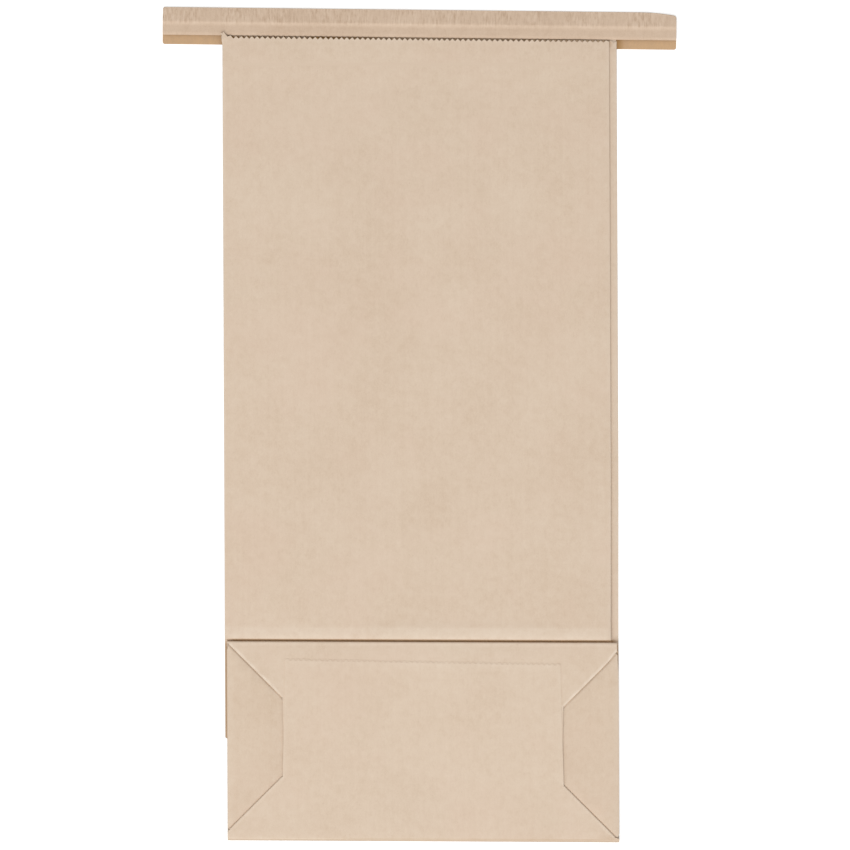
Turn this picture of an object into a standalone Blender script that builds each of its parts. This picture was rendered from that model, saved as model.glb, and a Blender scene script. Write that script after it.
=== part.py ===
"""Kraft bakery bag with a square bottom, a window and a tin tie, folded flat as it is sold.

The bag lies on its window face with the folded bottom panel on top. +X runs along the mouth,
+Y from the bottom fold to the mouth and +Z up through the plies. The origin is in the middle of
the footprint, on the surface that the bag lies on.

The bag body is one sheet. It is modelled as its middle surface: flat panels, each at its own
place in the stack of plies, joined by half-round folds. The middle surface is then given the
paper's thickness, square to the sheet at every point. Where several folds run together the
sheet is left open by a small notch, as the paper is there on a real bag.
"""
import math
from collections import namedtuple

import bmesh
import bpy
from mathutils import Matrix, Vector

# The flat bag, in metres
BAG_WIDTH = 0.1202
BAG_LENGTH = 0.2462
GUSSET_WIDTH = 0.058
PAPER = 0.00012
PLY_PITCH = 0.0002
FRONT_INSET_LEFT = -0.0006
FRONT_INSET_RIGHT = 0.0023

# The sheet was folded a little out of square
SIDE_LEAN = math.radians(0.24)
BOTTOM_SLOPE = math.radians(0.3)
MOUTH_SLOPE = math.radians(0.65)
FLAP_CUT_SLOPE = math.radians(0.8)

# The folded bottom: its panel is a little deeper than the gusset is wide, and its two ears
# were pasted down a little out of true
BOTTOM_EASE = 0.0032
EAR_DEPTH = 0.017
EAR_TONGUE = 0.023
EAR_SHIFT_LEFT = 0.0013
EAR_SHIFT_RIGHT = -0.0012
FLAP_STOPS_SHORT = 0.0056
FLAP_TAPER = 0.0009

# How far the folds of the ears stop short of the corners of the sheet
TUCK_FROM_SIDE = 0.0006
DIAGONAL_FROM_SIDE = 0.0009
FOLD_FROM_CUT = 0.0003

# Pinked cuts, and the step of the mouth over the tie
TOOTH_PITCH = 0.00161
TOOTH_DEPTH = 0.0008
LIFT_LENGTH = 0.011
LIFT_ENDS_BELOW_MOUTH = 0.0042

# The window in the back ply, and the film glued inside it
FILM_TO_GUSSET = 0.001
FILM_LAP = 0.006
WINDOW_ABOVE_BOTTOM = 0.082
WINDOW_BELOW_MOUTH = 0.058
WINDOW_CORNER = 0.008
FILM_THICKNESS = 0.00007
FILM_GAP = 0.00018

# The tin tie: a paper strip folded over the lip of the back ply, with two wires in it
TIE_OVERHANG = 0.0185
TIE_RISE = 0.0091
TIE_PAPER = 0.00015
JOIN_GAP = 0.00013
LIP_CLEARANCE = 0.001
LIP_INSET = 0.0004
NEAR_LEAF_TO_MOUTH = 0.0006
FAR_LEAF_LAP = 0.0023
WIRE_DIAMETER = 0.00045
WIRE_FROM_EDGE = 0.0008
WIRE_SPACING = 0.0034
WIRE_RIDGE = 0.0014
BRIDGE_DIP = 0.00008
WIRE_END_COVER = 0.0006
TIE_CORNER = 0.0007
TIE_DROOP = 0.001
TIE_DROOP_LENGTH = 0.011

# Facets
TIGHT_FOLD_STEPS = 4
WIDE_FOLD_STEPS = 8
CORNER_STEPS = 6
LEAF_POINTS = 20
WIRE_SIDES = 12
SHARP_ANGLE = 40

# Places of the plies in the stack, from the window face up
BACK, GUSSET_BACK, GUSSET_FRONT, FRONT, FRONT_TURN, GUSSET_TURN = range(6)
GUSSET_BASE, EAR, TUCK, INNER_FLAP, OUTER_FLAP = range(6, 11)

LEFT, RIGHT = -1, 1

BOTTOM_DEPTH = GUSSET_WIDTH + BOTTOM_EASE
CREASE_HEIGHT = BOTTOM_DEPTH / 2
FLAP_LENGTH = BOTTOM_DEPTH - FLAP_STOPS_SHORT
GUSSET_FOLD = GUSSET_WIDTH / 2
MOUTH_LIFT = TIE_PAPER + JOIN_GAP

ACROSS = "across the sheet"
Crease = namedtuple("Crease", "low high start end out")


def clear_scene():
    for old in list(bpy.data.objects):
        bpy.data.objects.remove(old, do_unlink=True)


def material(name, color, roughness, metallic=0.0, alpha=1.0):
    made = bpy.data.materials.new(name)
    made.use_nodes = True
    shader = made.node_tree.nodes["Principled BSDF"]
    shader.inputs["Base Color"].default_value = (*color, 1.0)
    shader.inputs["Roughness"].default_value = roughness
    shader.inputs["Metallic"].default_value = metallic
    shader.inputs["Alpha"].default_value = alpha
    return made


def new_object(name, mesh_data, finish):
    made = bpy.data.objects.new(name, mesh_data)
    made.data.materials.append(finish)
    bpy.context.scene.collection.objects.link(made)
    return made


def mesh_object(name, bm, finish):
    """Turns a closed bmesh into an object with its faces pointing out."""
    bmesh.ops.recalc_face_normals(bm, faces=bm.faces)
    data = bpy.data.meshes.new(name)
    bm.to_mesh(data)
    bm.free()
    return new_object(name, data, finish)


def ply_height(level):
    """Height of the middle of the ply that lies at this place in the stack."""
    return PAPER / 2 + PLY_PITCH * level


def setback(low, high):
    """How far a ply's flat part stops short of the outside of its fold."""
    return (PLY_PITCH * (high - low) + PAPER) / 2


def meeting_clearance():
    """How far the folds of a gusset stop short of a point where several of them meet."""
    return setback(BACK, GUSSET_BASE) * math.sqrt(2)


def at(side, inward, up):
    """A point of the plan, from its distance in from one side fold and up from the bottom."""
    return Vector((side * (BAG_WIDTH / 2 - inward), up))


def mouth_height(x):
    return BAG_LENGTH - math.tan(MOUTH_SLOPE) * x


def crease(low, high, start, end, inward, trims=(0.0, 0.0)):
    """A fold between two plies, along the line that its outside touches.

    The crease keeps the two ends of the edge that both plies share in plan, and the direction
    in which the fold bulges.
    """
    along = (end - start).normalized()
    inward = (inward - along * inward.dot(along)).normalized()
    shift = inward * setback(low, high)
    return Crease(low, high, start + along * trims[0] + shift,
                  end - along * trims[1] + shift, -inward)


def pinked(start, end):
    """Points of a zigzag cut from start to end."""
    teeth = max(2, round((end - start).length / TOOTH_PITCH))
    along = (end - start).normalized()
    across = Vector((along.y, -along.x)) * TOOTH_DEPTH / 2
    points = [start]
    for step in range(1, 2 * teeth):
        middle = start.lerp(end, step / (2 * teeth))
        points.append(middle + (across if step % 2 else -across))
    points.append(end)
    return points


def rounded_rectangle(left, right, bottom, top, radius):
    """Corner arcs of a rectangle, counterclockwise."""
    points = []
    corners = ((right, bottom, -90), (right, top, 0), (left, top, 90), (left, bottom, 180))
    for x, y, turn in corners:
        centre = Vector((x - math.copysign(radius, x - (left + right) / 2),
                         y - math.copysign(radius, y - (bottom + top) / 2)))
        for step in range(CORNER_STEPS + 1):
            angle = math.radians(turn + 90 * step / CORNER_STEPS)
            points.append(centre + radius * Vector((math.cos(angle), math.sin(angle))))
    return points


def ring(bm, points, height):
    """A closed loop of edges at one height, without doubled points."""
    across = bm.verts.layers.float_vector[ACROSS]
    kept = [p for i, p in enumerate(points) if (p - points[i - 1]).length > 1e-7]
    corners = [bm.verts.new((p.x, p.y, height)) for p in kept]
    for vert in corners:
        vert[across] = Vector((0.0, 0.0, 1.0))
    return [bm.edges.new((corners[i - 1], corners[i])) for i in range(len(corners))]


def add_panel(bm, level, outline, hole=()):
    """A flat ply, filled between its outline and the edge of its hole."""
    edges = ring(bm, outline, ply_height(level))
    if hole:
        edges += ring(bm, hole, ply_height(level))
    bmesh.ops.triangle_fill(bm, edges=edges, use_beauty=True)


def add_fold(bm, fold):
    """The half-round bend that joins the two plies of a crease."""
    across = bm.verts.layers.float_vector[ACROSS]
    radius = PLY_PITCH * (fold.high - fold.low) / 2
    middle = (ply_height(fold.low) + ply_height(fold.high)) / 2
    steps = TIGHT_FOLD_STEPS if fold.high - fold.low < 3 else WIDE_FOLD_STEPS
    last = None
    for step in range(steps + 1):
        angle = math.pi * step / steps
        outward = Vector((*(fold.out * math.sin(angle)), -math.cos(angle)))
        pair = [bm.verts.new(Vector((*end, middle)) + outward * radius)
                for end in (fold.start, fold.end)]
        for vert in pair:
            vert[across] = outward
        if last:
            bm.faces.new((last[0], last[1], pair[1], pair[0]))
        last = pair


def thicken_sheet(bm, thickness):
    """Gives a middle surface its thickness, along the direction that each point keeps."""
    bmesh.ops.remove_doubles(bm, verts=bm.verts, dist=1e-6)
    bmesh.ops.recalc_face_normals(bm, faces=bm.faces)
    bm.normal_update()
    across = bm.verts.layers.float_vector[ACROSS]
    sheet_faces = bm.faces[:]
    rim = [(e.verts[0], e.verts[1], e.link_faces[0]) for e in bm.edges if e.is_boundary]
    other_side = {}
    for vert in bm.verts[:]:
        step = vert[across] * math.copysign(thickness / 2, vert[across].dot(vert.normal))
        other_side[vert] = bm.verts.new(vert.co - step)
        vert.co += step
    for first, second, face in rim:
        order = [loop.vert for loop in face.loops]
        if order[(order.index(first) + 1) % len(order)] != second:
            first, second = second, first
        bm.faces.new((second, first, other_side[first], other_side[second]))
    for face in sheet_faces:
        bm.faces.new([other_side[vert] for vert in reversed(face.verts)])


def new_sheet():
    """An empty middle surface, whose points keep the direction across the sheet."""
    bm = bmesh.new()
    bm.verts.layers.float_vector.new(ACROSS)
    return bm


def edge(fold, flip=False):
    """The two ends of a crease, in the order in which an outline passes them."""
    return [fold.end, fold.start] if flip else [fold.start, fold.end]


def side_creases(side):
    """The folds of one gusset, from the mouth down to its ear in the bottom panel."""
    inset = FRONT_INSET_LEFT if side == LEFT else FRONT_INSET_RIGHT
    shift = EAR_SHIFT_LEFT if side == LEFT else EAR_SHIFT_RIGHT
    low, high = CREASE_HEIGHT - GUSSET_FOLD, CREASE_HEIGHT + GUSSET_FOLD
    ear_low, ear_high = low + shift, high + shift
    notch = meeting_clearance()
    in_plan = Vector((-side, 0.0))
    up, down = Vector((0.0, 1.0)), Vector((0.0, -1.0))

    def to_mouth(lower, upper, inward, start_up):
        x = at(side, inward, 0.0).x
        return crease(lower, upper, at(side, inward, start_up), Vector((x, mouth_height(x))),
                      in_plan)

    point = at(side, GUSSET_FOLD, CREASE_HEIGHT)
    folds = {
        "back": to_mouth(BACK, GUSSET_BACK, 0.0, low + notch),
        "middle": crease(GUSSET_BACK, GUSSET_FRONT, at(side, GUSSET_FOLD, CREASE_HEIGHT + notch),
                         Vector((point.x, mouth_height(point.x))), -in_plan),
        "front": to_mouth(GUSSET_FRONT, FRONT, inset, CREASE_HEIGHT + notch),
        "turn": crease(GUSSET_FRONT, GUSSET_TURN, at(side, inset, CREASE_HEIGHT), point, up,
                       (notch, notch)),
        "turned_front": crease(FRONT_TURN, GUSSET_TURN, at(side, 0.0, CREASE_HEIGHT),
                               at(side, 0.0, high), in_plan, (notch, notch)),
        "low_diagonal": crease(GUSSET_BACK, GUSSET_BASE, at(side, 0.0, low), point, up,
                               (notch, notch)),
        "high_diagonal": crease(GUSSET_TURN, GUSSET_BASE, at(side, 0.0, high), point, down,
                                (notch, notch)),
        "ear": crease(GUSSET_BASE, EAR, at(side, 0.0, max(low, ear_low)),
                      at(side, 0.0, min(high, ear_high)), in_plan, (notch, notch)),
        "ear_low": crease(EAR, TUCK, at(side, 0.0, ear_low), at(side, EAR_DEPTH, ear_low), up,
                          (TUCK_FROM_SIDE, FOLD_FROM_CUT)),
        "ear_high": crease(EAR, TUCK, at(side, 0.0, ear_high), at(side, EAR_DEPTH, ear_high), down,
                           (TUCK_FROM_SIDE, FOLD_FROM_CUT)),
    }
    clear_of_bottom = max(0.0, setback(BACK, OUTER_FLAP) - ear_low) * math.sqrt(2)
    folds["outer_diagonal"] = crease(
        TUCK, OUTER_FLAP, at(side, 0.0, ear_low), at(side, EAR_DEPTH, ear_low + EAR_DEPTH), down,
        (DIAGONAL_FROM_SIDE + clear_of_bottom, FOLD_FROM_CUT))
    folds["inner_diagonal"] = crease(
        TUCK, INNER_FLAP, at(side, 0.0, ear_high), at(side, EAR_DEPTH, ear_high - EAR_DEPTH), up,
        (DIAGONAL_FROM_SIDE, FOLD_FROM_CUT))
    return folds, ear_low, ear_high


def add_side(bm, side):
    """One gusset with its turned-up foot, its ear and the two tucks under the flaps."""
    folds, ear_low, ear_high = side_creases(side)
    for fold in folds.values():
        add_fold(bm, fold)
    add_panel(bm, GUSSET_BACK, edge(folds["back"], True) + edge(folds["low_diagonal"])
              + [folds["middle"].start] + pinked(folds["middle"].end, folds["back"].end))
    add_panel(bm, GUSSET_FRONT, edge(folds["front"], True) + edge(folds["turn"])
              + [folds["middle"].start] + pinked(folds["middle"].end, folds["front"].end))
    add_panel(bm, GUSSET_TURN, edge(folds["turned_front"], True) + edge(folds["turn"])
              + edge(folds["high_diagonal"], True))
    add_panel(bm, GUSSET_BASE, edge(folds["ear"], True) + edge(folds["low_diagonal"])
              + edge(folds["high_diagonal"], True))
    tongue_low, tongue_high = ear_low + EAR_DEPTH, ear_high - EAR_DEPTH
    tongue_end = EAR_DEPTH + EAR_TONGUE
    add_panel(bm, EAR, edge(folds["ear"], True) + edge(folds["ear_low"])
              + [at(side, EAR_DEPTH, tongue_low)]
              + pinked(at(side, tongue_end, tongue_low), at(side, tongue_end, tongue_high))
              + [at(side, EAR_DEPTH, tongue_high)] + edge(folds["ear_high"], True))
    add_panel(bm, TUCK, edge(folds["ear_low"]) + edge(folds["outer_diagonal"], True))
    add_panel(bm, TUCK, edge(folds["ear_high"]) + edge(folds["inner_diagonal"], True))
    return folds, ear_low, ear_high


def window_box():
    """Left, right, bottom and top of the window in the back ply."""
    half = BAG_WIDTH / 2 - GUSSET_FOLD - FILM_TO_GUSSET - FILM_LAP
    return -half, half, WINDOW_ABOVE_BOTTOM, BAG_LENGTH - WINDOW_BELOW_MOUTH


def add_faces_and_flaps(bm, left, right):
    """The back and front plies and the two bottom flaps, between the folds of both gussets."""
    left_folds, left_low, left_high = left
    right_folds, right_low, right_high = right
    bottom = crease(BACK, OUTER_FLAP, at(LEFT, 0.0, 0.0), at(RIGHT, 0.0, 0.0), Vector((0.0, 1.0)))
    far = crease(FRONT_TURN, INNER_FLAP, at(LEFT, 0.0, BOTTOM_DEPTH), at(RIGHT, 0.0, BOTTOM_DEPTH),
                 Vector((0.0, -1.0)))
    nest = setback(GUSSET_FRONT, GUSSET_TURN) - setback(FRONT, FRONT_TURN)
    side_trim = meeting_clearance()
    turn = crease(FRONT, FRONT_TURN, at(LEFT, FRONT_INSET_LEFT, CREASE_HEIGHT + nest),
                  at(RIGHT, FRONT_INSET_RIGHT, CREASE_HEIGHT + nest), Vector((0.0, 1.0)),
                  (side_trim, side_trim))
    for fold in (bottom, far, turn):
        add_fold(bm, fold)

    lip = TIE_RISE - LIP_CLEARANCE
    lip_left, lip_right = at(LEFT, LIP_INSET, 0.0).x, at(RIGHT, LIP_INSET, 0.0).x
    lip_top = pinked(Vector((lip_right, mouth_height(lip_right) + lip)),
                     Vector((lip_left, mouth_height(lip_left) + lip)))
    left_edge, right_edge, low_edge, high_edge = window_box()
    add_panel(bm, BACK, edge(bottom) + edge(right_folds["back"]) + lip_top
              + edge(left_folds["back"], True),
              rounded_rectangle(left_edge, right_edge, low_edge, high_edge, WINDOW_CORNER))
    add_panel(bm, FRONT, edge(turn) + [right_folds["front"].start]
              + pinked(right_folds["front"].end, left_folds["front"].end)
              + [left_folds["front"].start])
    add_panel(bm, FRONT_TURN, edge(turn) + edge(right_folds["turned_front"])
              + edge(far, True) + edge(left_folds["turned_front"], True))

    flap_low = bottom.start.y
    flap_end = EAR_DEPTH + FLAP_TAPER
    flap_slant = math.tan(FLAP_CUT_SLOPE) * (BAG_WIDTH - 2 * flap_end)
    add_panel(bm, OUTER_FLAP, edge(bottom) + [at(RIGHT, 0.0, max(flap_low, right_low))]
              + edge(right_folds["outer_diagonal"])
              + [at(RIGHT, EAR_DEPTH, right_low + EAR_DEPTH)]
              + pinked(at(RIGHT, flap_end, FLAP_LENGTH - flap_slant),
                       at(LEFT, flap_end, FLAP_LENGTH))
              + [at(LEFT, EAR_DEPTH, left_low + EAR_DEPTH)]
              + edge(left_folds["outer_diagonal"], True)
              + [at(LEFT, 0.0, max(flap_low, left_low))])
    flap_high = far.start.y
    inner_end = BOTTOM_DEPTH - FLAP_LENGTH
    add_panel(bm, INNER_FLAP, edge(far) + [at(RIGHT, 0.0, min(flap_high, right_high))]
              + edge(right_folds["inner_diagonal"])
              + [at(RIGHT, EAR_DEPTH, right_high - EAR_DEPTH)]
              + pinked(at(RIGHT, flap_end, inner_end), at(LEFT, flap_end, inner_end))
              + [at(LEFT, EAR_DEPTH, left_high - EAR_DEPTH)]
              + edge(left_folds["inner_diagonal"], True)
              + [at(LEFT, 0.0, min(flap_high, left_high))])


def lift_mouth(bm):
    """Raises the plies near the mouth over the leaf of the tie that lies under them."""
    end = BAG_LENGTH - LIFT_ENDS_BELOW_MOUTH
    start = end - LIFT_LENGTH
    for station in (start, end):
        bmesh.ops.bisect_plane(bm, geom=bm.verts[:] + bm.edges[:] + bm.faces[:],
                               plane_co=(0.0, station, 0.0), plane_no=(0.0, 1.0, 0.0))
    for vert in bm.verts:
        share = (vert.co.y - start) / (end - start)
        vert.co.z += MOUTH_LIFT * min(1.0, max(0.0, share))


def skew(bm):
    """Moves a squared-up sheet to where it lies: its sides lean, and its bottom slopes."""
    for vert in bm.verts:
        below_mouth = BAG_LENGTH - vert.co.y
        vert.co.y -= math.tan(BOTTOM_SLOPE) * vert.co.x * below_mouth / BAG_LENGTH
        vert.co.x += math.tan(SIDE_LEAN) * below_mouth


def make_bag_body(finish):
    bm = new_sheet()
    left = add_side(bm, LEFT)
    right = add_side(bm, RIGHT)
    add_faces_and_flaps(bm, left, right)
    thicken_sheet(bm, PAPER)
    lift_mouth(bm)
    skew(bm)
    return mesh_object("bag_body", bm, finish)


def make_window_film(finish):
    """The clear film, a rounded sheet that laps the window's edge all round."""
    left, right, bottom, top = window_box()
    bm = new_sheet()
    outline = rounded_rectangle(left - FILM_LAP, right + FILM_LAP, bottom - FILM_LAP,
                                top + FILM_LAP, WINDOW_CORNER)
    bmesh.ops.triangle_fill(bm, edges=ring(bm, outline, PAPER + FILM_GAP + FILM_THICKNESS / 2),
                            use_beauty=True)
    thicken_sheet(bm, FILM_THICKNESS)
    skew(bm)
    return mesh_object("window_film", bm, finish)


def tie_heights():
    """Heights of the tie at the mouth: far leaf, near leaf, wire, and the near leaf's ridge."""
    far = TIE_PAPER / 2
    lip_top = MOUTH_LIFT + PAPER
    near = lip_top + JOIN_GAP + TIE_PAPER / 2
    wire = lip_top + JOIN_GAP + WIRE_DIAMETER / 2
    ridge = WIRE_DIAMETER + JOIN_GAP
    return far, near, wire, ridge


def wire_lines():
    """How far above the mouth the two wires lie, the lower one first."""
    lower = NEAR_LEAF_TO_MOUTH + WIRE_FROM_EDGE
    return lower, lower + WIRE_SPACING


def tie_section(from_left, from_right):
    """Middle line of the folded strip, from the far leaf's edge over the fold to the near edge."""
    far, near, _, ridge = tie_heights()
    nearest_end = min(from_left, from_right, TIE_CORNER)
    corner = TIE_CORNER - math.sqrt(TIE_CORNER ** 2 - (TIE_CORNER - nearest_end) ** 2)
    droop = TIE_DROOP * max(0.0, 1 - from_right / TIE_DROOP_LENGTH) ** 2
    radius = (near - far) / 2
    top = TIE_RISE - TIE_PAPER / 2 - radius - droop - corner
    points = [(corner - FAR_LEAF_LAP, far)]
    for step in range(TIGHT_FOLD_STEPS + 1):
        angle = math.pi * step / TIGHT_FOLD_STEPS
        points.append((top + radius * math.sin(angle), far + radius * (1 - math.cos(angle))))
    lower, upper = wire_lines()
    for step in range(1, LEAF_POINTS + 1):
        y = top + (NEAR_LEAF_TO_MOUTH - top) * step / LEAF_POINTS
        away = min(1.0, max(0.0, lower - y, y - upper) / WIRE_RIDGE)
        swell = ridge * (1 + math.cos(math.pi * away)) / 2
        between = min(1.0, max(0.0, (y - lower) / (upper - lower)))
        swell -= BRIDGE_DIP * math.sin(math.pi * between)
        points.append((y, near + swell))
    return [Vector(point) for point in points]


def both_sides(line, thickness):
    """The closed outline of a band that has this middle line."""
    first, second = [], []
    for i, point in enumerate(line):
        before = (point - line[i - 1]).normalized() if i else (line[1] - point).normalized()
        after = (line[i + 1] - point).normalized() if i + 1 < len(line) else before
        square = Vector((-(before + after).y, (before + after).x)).normalized()
        reach = thickness / 2 / square.dot(Vector((-before.y, before.x)))
        first.append(point + square * reach)
        second.append(point - square * reach)
    return first + second[::-1]


def tie_stations(length):
    """Places along the strip, close together at the rounded ends and in the droop."""
    ends = [TIE_CORNER * (1 - math.cos(math.pi / 2 * step / CORNER_STEPS))
            for step in range(CORNER_STEPS + 1)]
    droop = [length - TIE_DROOP_LENGTH + (TIE_DROOP_LENGTH - TIE_CORNER) * step / CORNER_STEPS
             for step in range(CORNER_STEPS)]
    return ends + droop + [length - place for place in reversed(ends)]


def make_tie_strip(finish):
    length = BAG_WIDTH + 2 * TIE_OVERHANG
    bm = bmesh.new()
    rows = []
    for place in tie_stations(length):
        section = both_sides(tie_section(place, length - place), TIE_PAPER)
        rows.append([bm.verts.new((place - length / 2, *point)) for point in section])
    for last, row in zip(rows, rows[1:]):
        for i in range(len(row)):
            bm.faces.new((last[i - 1], last[i], row[i], row[i - 1]))
    bm.faces.new(rows[0])
    bm.faces.new(rows[-1])
    strip = mesh_object("tin_tie_strip", bm, finish)
    strip.data.shade_smooth()
    strip.data.set_sharp_from_angle(angle=math.radians(SHARP_ANGLE))
    return strip


def make_tie_wire(name, line, finish):
    """One straight wire, shorter than the strip that covers its ends."""
    length = BAG_WIDTH + 2 * (TIE_OVERHANG - WIRE_END_COVER)
    bm = bmesh.new()
    lie_down = Matrix.Rotation(math.pi / 2, 4, "Y")
    bmesh.ops.create_cone(bm, cap_ends=True, segments=WIRE_SIDES, radius1=WIRE_DIAMETER / 2,
                          radius2=WIRE_DIAMETER / 2, depth=length, matrix=lie_down)
    bmesh.ops.translate(bm, verts=bm.verts, vec=(0.0, line, tie_heights()[2]))
    wire = mesh_object(name, bm, finish)
    wire.data.shade_smooth()
    wire.data.set_sharp_from_angle(angle=math.radians(SHARP_ANGLE))
    return wire


def place_in_frame(bag, film, tie_pieces):
    """Sets the tie along the sloping mouth and centres everything over the origin."""
    frame = bpy.data.objects.new("bag_frame", None)
    tie = bpy.data.objects.new("tin_tie_frame", None)
    for empty in (frame, tie):
        bpy.context.scene.collection.objects.link(empty)
    tie.parent = frame
    tie.location = (0.0, BAG_LENGTH, 0.0)
    tie.rotation_euler = (0.0, 0.0, -MOUTH_SLOPE)
    for piece in tie_pieces:
        piece.parent = tie
    for piece in (bag, film):
        piece.parent = frame
    bpy.context.view_layer.update()
    corners = []
    for piece in (bag, film, *tie_pieces):
        solid = piece.evaluated_get(bpy.context.evaluated_depsgraph_get())
        corners += [solid.matrix_world @ vert.co for vert in solid.data.vertices]
    middle = [(min(c[i] for c in corners) + max(c[i] for c in corners)) / 2 for i in (0, 1)]
    frame.location = (-middle[0], -middle[1], -min(c.z for c in corners))


def main():
    clear_scene()
    kraft = material("natural kraft", (0.678, 0.533, 0.407), 0.85)
    tie_kraft = material("tie kraft", (0.61, 0.45, 0.33), 0.8)
    clear = material("clear film", (0.9, 0.92, 0.93), 0.08, alpha=0.25)
    steel = material("tie wire", (0.62, 0.6, 0.57), 0.35, metallic=1.0)
    bag = make_bag_body(kraft)
    film = make_window_film(clear)
    tie_pieces = [make_tie_strip(tie_kraft)]
    lower, upper = wire_lines()
    tie_pieces.append(make_tie_wire("tin_tie_wire_lower", lower, steel))
    tie_pieces.append(make_tie_wire("tin_tie_wire_upper", upper, steel))
    place_in_frame(bag, film, tie_pieces)


main()
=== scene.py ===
"""Finishes and studio for a kraft window bakery bag that lies folded flat.

The file is laid out as a Blender add-on and run as a script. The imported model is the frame: the
bag body is copied from it, cut fine and given the spring that folded paper has, the tie strip is
copied and wrinkled, and the film and the wires keep their own meshes and get a finish.
"""
import math

import bmesh
import bpy
from mathutils import Matrix, Vector, noise


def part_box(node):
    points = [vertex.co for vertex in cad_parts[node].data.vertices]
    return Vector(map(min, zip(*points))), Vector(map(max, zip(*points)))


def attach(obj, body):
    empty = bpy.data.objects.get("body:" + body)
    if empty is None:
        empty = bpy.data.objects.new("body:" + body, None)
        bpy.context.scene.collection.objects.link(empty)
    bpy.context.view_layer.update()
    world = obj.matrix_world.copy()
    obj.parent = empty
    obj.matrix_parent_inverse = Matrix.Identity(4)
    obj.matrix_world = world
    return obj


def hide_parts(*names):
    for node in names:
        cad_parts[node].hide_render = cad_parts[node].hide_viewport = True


bl_info = {
    "name": "Window Bakery Bag",
    "version": (1, 0, 0),
    "blender": (4, 5, 0),
    "location": "3D View > Sidebar > Bakery Bag",
    "description": "Paper, film, tie and studio for a folded kraft bag",
    "category": "Object",
}

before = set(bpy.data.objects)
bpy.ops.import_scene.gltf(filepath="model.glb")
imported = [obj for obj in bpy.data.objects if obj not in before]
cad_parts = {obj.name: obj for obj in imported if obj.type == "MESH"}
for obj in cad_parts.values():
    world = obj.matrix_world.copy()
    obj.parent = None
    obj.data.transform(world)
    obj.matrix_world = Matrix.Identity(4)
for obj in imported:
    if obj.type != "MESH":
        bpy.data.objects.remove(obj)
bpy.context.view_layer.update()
MM = 0.001

# The flat stack of plies in the frame: their pitch, their thickness, and which ply is which
PLY_PITCH = 0.2 * MM
PAPER = 0.12 * MM
FRONT_PLY = 3
TURNED_PLY = 4
EAR_PLY = 7
INNER_FLAP_PLY = 9
OUTER_FLAP_PLY = 10

# Between these distances from the bag's bottom, the stack rises over the tie's far leaf
MOUTH_LIFT = 0.28 * MM
LIFT_STARTS = 231 * MM
LIFT_ENDS = 242 * MM
TIE_LEAN = math.radians(0.65)

# Distances from the bottom's far fold at which the sheet is cut, below it and above the wall
CUTS_BELOW_FOLD = tuple(step * MM for step in (-1.9, -1.5, -0.8))
CUTS_ABOVE_WALL = tuple(step * MM for step in (0.95, 1.2, 1.6, 2.1, 2.8, 4.0, 4.6, 5.2, 5.8, 6.4,
                                               7.0))

# How much of the crevice colour, painted shade, covers the paper in each crevice and along the
# bottom rim, from 0 to 1
FOLD_SHADE = 0.72
LOWER_PLY_SHADE = 0.55
CORNER_SHADE = 0.5
RIM_SHADE = 0.2
LINE_END_SHADE = 0.1
EAR_SHADE = 0.03
RIM_HEIGHT = 1.1 * MM

# Distances outward from the ends of the flaps at which the ears are cut
EAR_CUTS = tuple(step * MM for step in (0.3, 1, 1.8, 2.6, 3.4, 4.2, 5, 7))

# Share of the front ply's rise that is left at each side, up the bag and beside the bottom
SIDE_RISE_LEFT = (0.62, 0.88)
SIDE_RISE_RIGHT = (0.3, 0.6)

# How far the burr at the mouth curls to the left, over the tie and upward, and how ragged it is
BURR_REACH = (0.5 * MM, 1.25 * MM, 0.6 * MM)
BURR_RAGGED = 0.6 * MM
BURR_GRAIN = 0.5 * MM

# Most painted highlight on the flap along its slanting folds: 1 is the far end and -1 the near one
SLANT_HIGHLIGHT = {1: 1.5, -1: 0.7}

# Angles: faces that lie flatter than this are joined, and edges sharper than this stay sharp
FLAT_ANGLE = math.radians(0.2)
SHARP_ANGLE = math.radians(38)

ALONG_X = Vector((1.0, 0.0, 0.0))
ALONG_Y = Vector((0.0, 1.0, 0.0))

# The photograph's frame is square, and its middle lies a little beside the bag's
VIEW_SIZE = 260.95 * MM
VIEW_CENTRE = (1.45 * MM, -0.18 * MM)

# The lamp stands beyond the bag's bottom, a little to the left, in this direction from the bag
KEY_DIRECTION = Vector((-0.3, -1.0, 1.15)).normalized()


def paint(red, green, blue):
    """A linear colour from the red, green and blue, 0 to 255, that it has on a screen."""
    parts = (value / 255 for value in (red, green, blue))
    return tuple(p / 12.92 if p <= 0.04045 else ((p + 0.055) / 1.055) ** 2.4 for p in parts)


def smooth_step(start, end, value):
    """0 before start, 1 after end, and a smooth rise between them."""
    share = min(1.0, max(0.0, (value - start) / (end - start)))
    return share * share * (3 - 2 * share)


def hill(place, width):
    """1 where the place is 0, and a smooth fall to 0 on both sides of it."""
    return math.exp(-(place / width) ** 2)


def ply_bottom(ply):
    """Height of the lower face of a ply in the flat stack."""
    return ply * PLY_PITCH


def ply_top(ply):
    """Height of the upper face of a ply in the flat stack."""
    return ply * PLY_PITCH + PAPER


def length_property(name, description, default):
    return bpy.props.FloatProperty(name=name, description=description, default=default,
                                   min=0.0, unit="LENGTH", precision=5)


def share_property(name, description, default):
    return bpy.props.FloatProperty(name=name, description=description, default=default,
                                   min=0.0, max=1.0, subtype="FACTOR")


def colour_property(name, description, default):
    return bpy.props.FloatVectorProperty(name=name, description=description, default=default,
                                         subtype="COLOR", min=0.0, max=1.0, size=3)


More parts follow.
